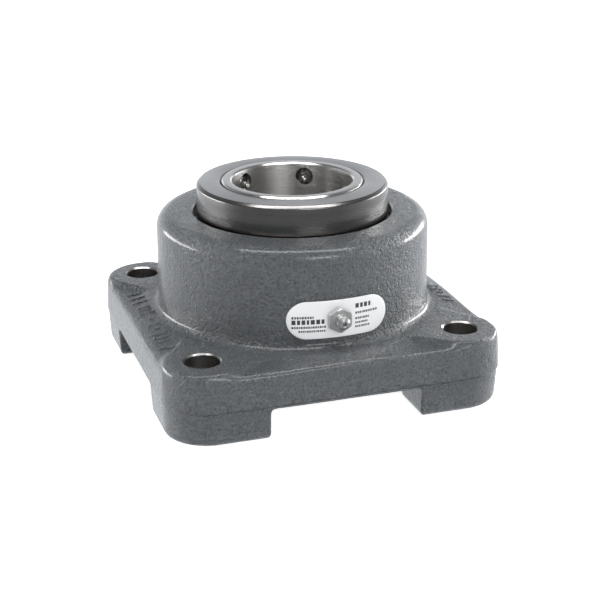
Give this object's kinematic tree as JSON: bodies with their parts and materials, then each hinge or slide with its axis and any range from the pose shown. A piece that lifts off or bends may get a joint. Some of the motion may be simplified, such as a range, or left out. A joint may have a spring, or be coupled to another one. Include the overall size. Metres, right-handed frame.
{
  "type": "flange mount bearing",
  "caption": "Square flange-mounted tapered roller bearing unit with a lock collar, setscrews, nameplate and grease fitting.",
  "frame": {"origin": "centre of the mounting face, on the shaft axis", "axes": "+Z along the shaft from the mounting face to the collar, -Y towards the nameplate and grease fitting, +X to the right of them"},
  "size_m": [0.1738, 0.1738, 0.1026],
  "materials": {
    "cast_paint": "semi-gloss dark grey paint over a sand-cast skin",
    "dark_steel": "dark turned steel",
    "bright_steel": "bright turned steel",
    "bearing_steel": "ground bearing steel",
    "cage_steel": "pressed steel",
    "black_oxide": "black oxide",
    "zinc": "zinc plated",
    "plate_metal": "satin, with dark bars printed on it",
    "seal_rubber": "matt"
  },
  "bodies": {
    "housing": {"housing": "cast_paint", "nameplate": "plate_metal", "grease_fitting": "zinc", "grease_spring": "bearing_steel", "double_cup": "bearing_steel", "front_seal_case": "cage_steel", "front_seal_lip": "seal_rubber", "rear_seal_case": "cage_steel", "rear_seal_lip": "seal_rubber", "retaining_ring": "black_oxide"},
    "shaft_group": {"inner_sleeve": "bright_steel", "lock_collar": "dark_steel", "front_cone": "bearing_steel", "rear_cone": "bearing_steel", "cone_spacer": "bearing_steel"},
    "setscrew_a": {"setscrew_1": "black_oxide"},
    "setscrew_b": {"setscrew_2": "black_oxide"},
    "front_cage_body": {"front_cage": "cage_steel"},
    "rear_cage_body": {"rear_cage": "cage_steel"},
    "check_ball": {"grease_ball": "bearing_steel"},
    "front_roller_01_body": {"front_roller_01": "bearing_steel"},
    "front_roller_02_body": {"front_roller_02": "bearing_steel"},
    "front_roller_03_body": {"front_roller_03": "bearing_steel"},
    "front_roller_04_body": {"front_roller_04": "bearing_steel"},
    "front_roller_05_body": {"front_roller_05": "bearing_steel"},
    "front_roller_06_body": {"front_roller_06": "bearing_steel"},
    "front_roller_07_body": {"front_roller_07": "bearing_steel"},
    "front_roller_08_body": {"front_roller_08": "bearing_steel"},
    "front_roller_09_body": {"front_roller_09": "bearing_steel"},
    "front_roller_10_body": {"front_roller_10": "bearing_steel"},
    "front_roller_11_body": {"front_roller_11": "bearing_steel"},
    "front_roller_12_body": {"front_roller_12": "bearing_steel"},
    "front_roller_13_body": {"front_roller_13": "bearing_steel"},
    "front_roller_14_body": {"front_roller_14": "bearing_steel"},
    "front_roller_15_body": {"front_roller_15": "bearing_steel"},
    "front_roller_16_body": {"front_roller_16": "bearing_steel"},
    "front_roller_17_body": {"front_roller_17": "bearing_steel"},
    "front_roller_18_body": {"front_roller_18": "bearing_steel"},
    "rear_roller_01_body": {"rear_roller_01": "bearing_steel"},
    "rear_roller_02_body": {"rear_roller_02": "bearing_steel"},
    "rear_roller_03_body": {"rear_roller_03": "bearing_steel"},
    "rear_roller_04_body": {"rear_roller_04": "bearing_steel"},
    "rear_roller_05_body": {"rear_roller_05": "bearing_steel"},
    "rear_roller_06_body": {"rear_roller_06": "bearing_steel"},
    "rear_roller_07_body": {"rear_roller_07": "bearing_steel"},
    "rear_roller_08_body": {"rear_roller_08": "bearing_steel"},
    "rear_roller_09_body": {"rear_roller_09": "bearing_steel"},
    "rear_roller_10_body": {"rear_roller_10": "bearing_steel"},
    "rear_roller_11_body": {"rear_roller_11": "bearing_steel"},
    "rear_roller_12_body": {"rear_roller_12": "bearing_steel"},
    "rear_roller_13_body": {"rear_roller_13": "bearing_steel"},
    "rear_roller_14_body": {"rear_roller_14": "bearing_steel"},
    "rear_roller_15_body": {"rear_roller_15": "bearing_steel"},
    "rear_roller_16_body": {"rear_roller_16": "bearing_steel"},
    "rear_roller_17_body": {"rear_roller_17": "bearing_steel"},
    "rear_roller_18_body": {"rear_roller_18": "bearing_steel"}
  },
  "joints": [
    {"name": "shaft_spin", "type": "hinge", "parent": "housing", "child": "shaft_group", "pos_m": [0, 0, 0.05001], "axis": [0, 0, 1], "continuous": true},
    {"name": "front_cage_spin", "type": "hinge", "parent": "housing", "child": "front_cage_body", "pos_m": [0, 0, 0.06201], "axis": [0, 0, 1], "continuous": true},
    {"name": "front_roller_01_spin", "type": "hinge", "parent": "front_cage_body", "child": "front_roller_01_body", "pos_m": [0.04637, 0, 0.06201], "axis": [0.225, 0, 0.9744], "continuous": true},
    {"name": "front_roller_02_spin", "type": "hinge", "parent": "front_cage_body", "child": "front_roller_02_body", "pos_m": [0.04357, 0.01586, 0.06201], "axis": [0.2114, 0.0769, 0.9744], "continuous": true},
    {"name": "front_roller_03_spin", "type": "hinge", "parent": "front_cage_body", "child": "front_roller_03_body", "pos_m": [0.03552, 0.02981, 0.06201], "axis": [0.1723, 0.1446, 0.9744], "continuous": true},
    {"name": "front_roller_04_spin", "type": "hinge", "parent": "front_cage_body", "child": "front_roller_04_body", "pos_m": [0.02319, 0.04016, 0.06201], "axis": [0.1125, 0.1948, 0.9744], "continuous": true},
    {"name": "front_roller_05_spin", "type": "hinge", "parent": "front_cage_body", "child": "front_roller_05_body", "pos_m": [0.00805, 0.04567, 0.06201], "axis": [0.0391, 0.2215, 0.9744], "continuous": true},
    {"name": "front_roller_06_spin", "type": "hinge", "parent": "front_cage_body", "child": "front_roller_06_body", "pos_m": [-0.00805, 0.04567, 0.06201], "axis": [-0.0391, 0.2215, 0.9744], "continuous": true},
    {"name": "front_roller_07_spin", "type": "hinge", "parent": "front_cage_body", "child": "front_roller_07_body", "pos_m": [-0.02319, 0.04016, 0.06201], "axis": [-0.1125, 0.1948, 0.9744], "continuous": true},
    {"name": "front_roller_08_spin", "type": "hinge", "parent": "front_cage_body", "child": "front_roller_08_body", "pos_m": [-0.03552, 0.02981, 0.06201], "axis": [-0.1723, 0.1446, 0.9744], "continuous": true},
    {"name": "front_roller_09_spin", "type": "hinge", "parent": "front_cage_body", "child": "front_roller_09_body", "pos_m": [-0.04357, 0.01586, 0.06201], "axis": [-0.2114, 0.0769, 0.9744], "continuous": true},
    {"name": "front_roller_10_spin", "type": "hinge", "parent": "front_cage_body", "child": "front_roller_10_body", "pos_m": [-0.04637, 0, 0.06201], "axis": [-0.225, 0, 0.9744], "continuous": true},
    {"name": "front_roller_11_spin", "type": "hinge", "parent": "front_cage_body", "child": "front_roller_11_body", "pos_m": [-0.04357, -0.01586, 0.06201], "axis": [-0.2114, -0.0769, 0.9744], "continuous": true},
    {"name": "front_roller_12_spin", "type": "hinge", "parent": "front_cage_body", "child": "front_roller_12_body", "pos_m": [-0.03552, -0.02981, 0.06201], "axis": [-0.1723, -0.1446, 0.9744], "continuous": true},
    {"name": "front_roller_13_spin", "type": "hinge", "parent": "front_cage_body", "child": "front_roller_13_body", "pos_m": [-0.02319, -0.04016, 0.06201], "axis": [-0.1125, -0.1948, 0.9744], "continuous": true},
    {"name": "front_roller_14_spin", "type": "hinge", "parent": "front_cage_body", "child": "front_roller_14_body", "pos_m": [-0.00805, -0.04567, 0.06201], "axis": [-0.0391, -0.2215, 0.9744], "continuous": true},
    {"name": "front_roller_15_spin", "type": "hinge", "parent": "front_cage_body", "child": "front_roller_15_body", "pos_m": [0.00805, -0.04567, 0.06201], "axis": [0.0391, -0.2215, 0.9744], "continuous": true},
    {"name": "front_roller_16_spin", "type": "hinge", "parent": "front_cage_body", "child": "front_roller_16_body", "pos_m": [0.02319, -0.04016, 0.06201], "axis": [0.1125, -0.1948, 0.9744], "continuous": true},
    {"name": "front_roller_17_spin", "type": "hinge", "parent": "front_cage_body", "child": "front_roller_17_body", "pos_m": [0.03552, -0.02981, 0.06201], "axis": [0.1723, -0.1446, 0.9744], "continuous": true},
    {"name": "front_roller_18_spin", "type": "hinge", "parent": "front_cage_body", "child": "front_roller_18_body", "pos_m": [0.04357, -0.01586, 0.06201], "axis": [0.2114, -0.0769, 0.9744], "continuous": true},
    {"name": "rear_cage_spin", "type": "hinge", "parent": "housing", "child": "rear_cage_body", "pos_m": [0, 0, 0.038], "axis": [0, 0, 1], "continuous": true},
    {"name": "rear_roller_01_spin", "type": "hinge", "parent": "rear_cage_body", "child": "rear_roller_01_body", "pos_m": [0.04637, 0, 0.038], "axis": [-0.225, 0, 0.9744], "continuous": true},
    {"name": "rear_roller_02_spin", "type": "hinge", "parent": "rear_cage_body", "child": "rear_roller_02_body", "pos_m": [0.04357, 0.01586, 0.038], "axis": [-0.2114, -0.0769, 0.9744], "continuous": true},
    {"name": "rear_roller_03_spin", "type": "hinge", "parent": "rear_cage_body", "child": "rear_roller_03_body", "pos_m": [0.03552, 0.02981, 0.038], "axis": [-0.1723, -0.1446, 0.9744], "continuous": true},
    {"name": "rear_roller_04_spin", "type": "hinge", "parent": "rear_cage_body", "child": "rear_roller_04_body", "pos_m": [0.02319, 0.04016, 0.038], "axis": [-0.1125, -0.1948, 0.9744], "continuous": true},
    {"name": "rear_roller_05_spin", "type": "hinge", "parent": "rear_cage_body", "child": "rear_roller_05_body", "pos_m": [0.00805, 0.04567, 0.038], "axis": [-0.0391, -0.2215, 0.9744], "continuous": true},
    {"name": "rear_roller_06_spin", "type": "hinge", "parent": "rear_cage_body", "child": "rear_roller_06_body", "pos_m": [-0.00805, 0.04567, 0.038], "axis": [0.0391, -0.2215, 0.9744], "continuous": true},
    {"name": "rear_roller_07_spin", "type": "hinge", "parent": "rear_cage_body", "child": "rear_roller_07_body", "pos_m": [-0.02319, 0.04016, 0.038], "axis": [0.1125, -0.1948, 0.9744], "continuous": true},
    {"name": "rear_roller_08_spin", "type": "hinge", "parent": "rear_cage_body", "child": "rear_roller_08_body", "pos_m": [-0.03552, 0.02981, 0.038], "axis": [0.1723, -0.1446, 0.9744], "continuous": true},
    {"name": "rear_roller_09_spin", "type": "hinge", "parent": "rear_cage_body", "child": "rear_roller_09_body", "pos_m": [-0.04357, 0.01586, 0.038], "axis": [0.2114, -0.0769, 0.9744], "continuous": true},
    {"name": "rear_roller_10_spin", "type": "hinge", "parent": "rear_cage_body", "child": "rear_roller_10_body", "pos_m": [-0.04637, 0, 0.038], "axis": [0.225, 0, 0.9744], "continuous": true},
    {"name": "rear_roller_11_spin", "type": "hinge", "parent": "rear_cage_body", "child": "rear_roller_11_body", "pos_m": [-0.04357, -0.01586, 0.038], "axis": [0.2114, 0.0769, 0.9744], "continuous": true},
    {"name": "rear_roller_12_spin", "type": "hinge", "parent": "rear_cage_body", "child": "rear_roller_12_body", "pos_m": [-0.03552, -0.02981, 0.038], "axis": [0.1723, 0.1446, 0.9744], "continuous": true},
    {"name": "rear_roller_13_spin", "type": "hinge", "parent": "rear_cage_body", "child": "rear_roller_13_body", "pos_m": [-0.02319, -0.04016, 0.038], "axis": [0.1125, 0.1948, 0.9744], "continuous": true},
    {"name": "rear_roller_14_spin", "type": "hinge", "parent": "rear_cage_body", "child": "rear_roller_14_body", "pos_m": [-0.00805, -0.04567, 0.038], "axis": [0.0391, 0.2215, 0.9744], "continuous": true},
    {"name": "rear_roller_15_spin", "type": "hinge", "parent": "rear_cage_body", "child": "rear_roller_15_body", "pos_m": [0.00805, -0.04567, 0.038], "axis": [-0.0391, 0.2215, 0.9744], "continuous": true},
    {"name": "rear_roller_16_spin", "type": "hinge", "parent": "rear_cage_body", "child": "rear_roller_16_body", "pos_m": [0.02319, -0.04016, 0.038], "axis": [-0.1125, 0.1948, 0.9744], "continuous": true},
    {"name": "rear_roller_17_spin", "type": "hinge", "parent": "rear_cage_body", "child": "rear_roller_17_body", "pos_m": [0.03552, -0.02981, 0.038], "axis": [-0.1723, 0.1446, 0.9744], "continuous": true},
    {"name": "rear_roller_18_spin", "type": "hinge", "parent": "rear_cage_body", "child": "rear_roller_18_body", "pos_m": [0.04357, -0.01586, 0.038], "axis": [-0.2114, 0.0769, 0.9744], "continuous": true},
    {"name": "setscrew_1_drive", "type": "slide", "parent": "shaft_group", "child": "setscrew_a", "axis": [-0.5, -0.866, 0], "range_m": [-0.004, 0.003]},
    {"name": "setscrew_2_drive", "type": "slide", "parent": "shaft_group", "child": "setscrew_b", "axis": [0.5736, -0.8192, 0], "range_m": [-0.004, 0.003]},
    {"name": "check_ball_lift", "type": "slide", "parent": "housing", "child": "check_ball", "axis": [0, 1, 0], "range_m": [0, 0.0008], "stiffness_N_per_m": 300, "springref_m": -0.002, "deforming": ["grease_spring"]}
  ],
  "couplings": [
    {"joint": "front_cage_spin", "follows": "shaft_spin", "ratio": 0.43696},
    {"joint": "front_roller_01_spin", "follows": "shaft_spin", "ratio": -3.8028},
    {"joint": "front_roller_02_spin", "follows": "shaft_spin", "ratio": -3.8028},
    {"joint": "front_roller_03_spin", "follows": "shaft_spin", "ratio": -3.8028},
    {"joint": "front_roller_04_spin", "follows": "shaft_spin", "ratio": -3.8028},
    {"joint": "front_roller_05_spin", "follows": "shaft_spin", "ratio": -3.8028},
    {"joint": "front_roller_06_spin", "follows": "shaft_spin", "ratio": -3.8028},
    {"joint": "front_roller_07_spin", "follows": "shaft_spin", "ratio": -3.8028},
    {"joint": "front_roller_08_spin", "follows": "shaft_spin", "ratio": -3.8028},
    {"joint": "front_roller_09_spin", "follows": "shaft_spin", "ratio": -3.8028},
    {"joint": "front_roller_10_spin", "follows": "shaft_spin", "ratio": -3.8028},
    {"joint": "front_roller_11_spin", "follows": "shaft_spin", "ratio": -3.8028},
    {"joint": "front_roller_12_spin", "follows": "shaft_spin", "ratio": -3.8028},
    {"joint": "front_roller_13_spin", "follows": "shaft_spin", "ratio": -3.8028},
    {"joint": "front_roller_14_spin", "follows": "shaft_spin", "ratio": -3.8028},
    {"joint": "front_roller_15_spin", "follows": "shaft_spin", "ratio": -3.8028},
    {"joint": "front_roller_16_spin", "follows": "shaft_spin", "ratio": -3.8028},
    {"joint": "front_roller_17_spin", "follows": "shaft_spin", "ratio": -3.8028},
    {"joint": "front_roller_18_spin", "follows": "shaft_spin", "ratio": -3.8028},
    {"joint": "rear_cage_spin", "follows": "shaft_spin", "ratio": 0.43696},
    {"joint": "rear_roller_01_spin", "follows": "shaft_spin", "ratio": -3.8028},
    {"joint": "rear_roller_02_spin", "follows": "shaft_spin", "ratio": -3.8028},
    {"joint": "rear_roller_03_spin", "follows": "shaft_spin", "ratio": -3.8028},
    {"joint": "rear_roller_04_spin", "follows": "shaft_spin", "ratio": -3.8028},
    {"joint": "rear_roller_05_spin", "follows": "shaft_spin", "ratio": -3.8028},
    {"joint": "rear_roller_06_spin", "follows": "shaft_spin", "ratio": -3.8028},
    {"joint": "rear_roller_07_spin", "follows": "shaft_spin", "ratio": -3.8028},
    {"joint": "rear_roller_08_spin", "follows": "shaft_spin", "ratio": -3.8028},
    {"joint": "rear_roller_09_spin", "follows": "shaft_spin", "ratio": -3.8028},
    {"joint": "rear_roller_10_spin", "follows": "shaft_spin", "ratio": -3.8028},
    {"joint": "rear_roller_11_spin", "follows": "shaft_spin", "ratio": -3.8028},
    {"joint": "rear_roller_12_spin", "follows": "shaft_spin", "ratio": -3.8028},
    {"joint": "rear_roller_13_spin", "follows": "shaft_spin", "ratio": -3.8028},
    {"joint": "rear_roller_14_spin", "follows": "shaft_spin", "ratio": -3.8028},
    {"joint": "rear_roller_15_spin", "follows": "shaft_spin", "ratio": -3.8028},
    {"joint": "rear_roller_16_spin", "follows": "shaft_spin", "ratio": -3.8028},
    {"joint": "rear_roller_17_spin", "follows": "shaft_spin", "ratio": -3.8028},
    {"joint": "rear_roller_18_spin", "follows": "shaft_spin", "ratio": -3.8028}
  ]
}
